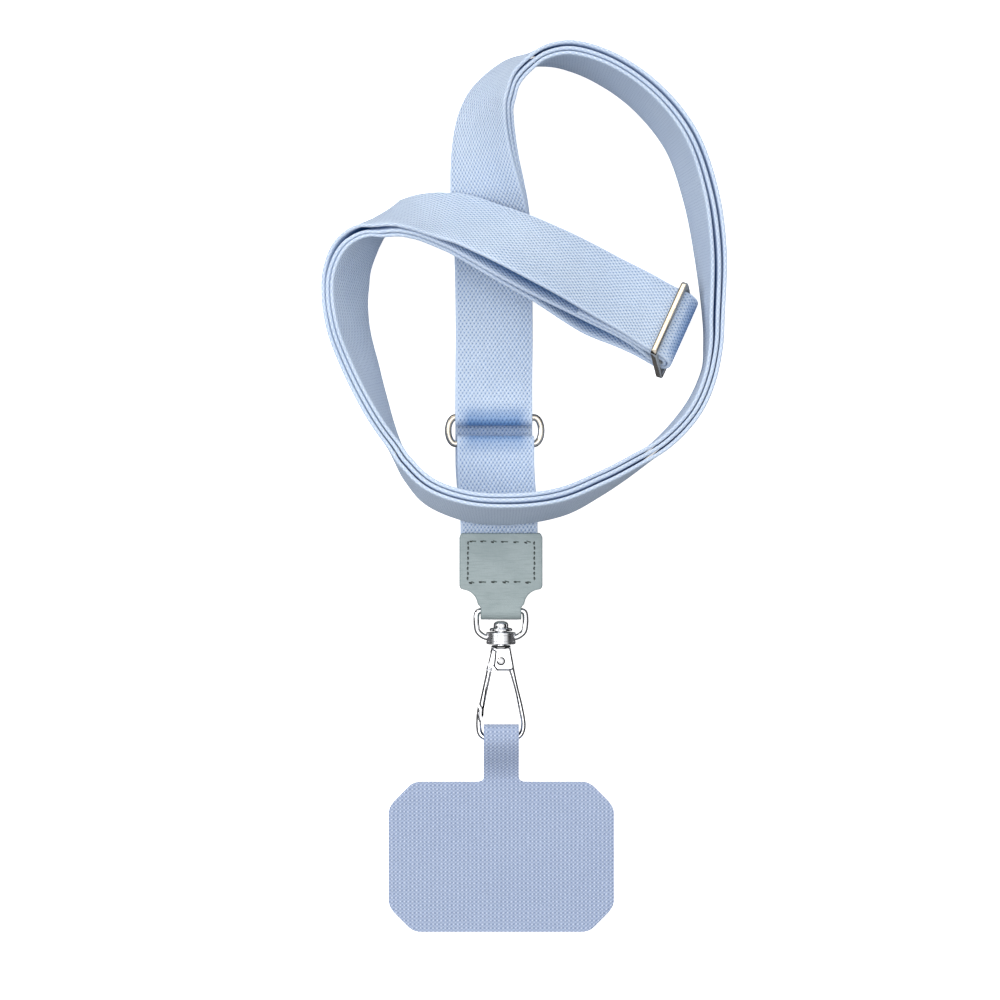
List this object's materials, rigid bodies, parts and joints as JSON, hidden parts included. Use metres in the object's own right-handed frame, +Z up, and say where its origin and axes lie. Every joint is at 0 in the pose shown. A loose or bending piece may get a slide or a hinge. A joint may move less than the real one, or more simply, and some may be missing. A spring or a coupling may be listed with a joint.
{
  "type": "phone crossbody strap",
  "caption": "Crossbody phone strap laid flat: tripled webbing loop with slider and oval ring, leather tab, swivel snap hook and a woven tether patch.",
  "frame": {"origin": "centre of the phone patch's underside, on the surface the strap lies on", "axes": "+X to the right across the patch, +Y from the patch through the hook and leather tab to the webbing, +Z up from the surface"},
  "size_m": [0.106, 0.235, 0.0282],
  "materials": {
    "webbing": "light blue polyester webbing, coarse basket weave",
    "patch": "periwinkle ribbed weave, laminated",
    "leather": "grey-green leather, fine grain, satin",
    "nickel": "polished nickel",
    "chrome": "polished chrome"
  },
  "bodies": {
    "strap": {"strap_webbing": "webbing", "ring_webbing": "webbing", "leather_tab": "leather", "oval_ring": "nickel", "slider": "nickel"},
    "eye": {"swivel_eye": "chrome"},
    "hook": {"snap_hook": "chrome", "gate_rivet": "chrome", "phone_patch": "patch"},
    "gate": {"hook_gate": "chrome"}
  },
  "joints": [
    {"name": "eye_hinge", "type": "hinge", "parent": "strap", "child": "eye", "pos_m": [-0.0001, 0.0656, 0.0039], "axis": [1, 0, 0], "range_deg": [-80, 80]},
    {"name": "hook_swivel", "type": "hinge", "parent": "eye", "child": "hook", "pos_m": [-0.0001, 0.0584, 0.0039], "axis": [0, 1, 0], "continuous": true},
    {"name": "gate_hinge", "type": "hinge", "parent": "hook", "child": "gate", "pos_m": [-0.0001, 0.05238, 0.0039], "axis": [0, 0, 1], "range_deg": [0, 22], "stiffness_Nm_per_rad": 0.02, "springref_deg": -11.46}
  ]
}
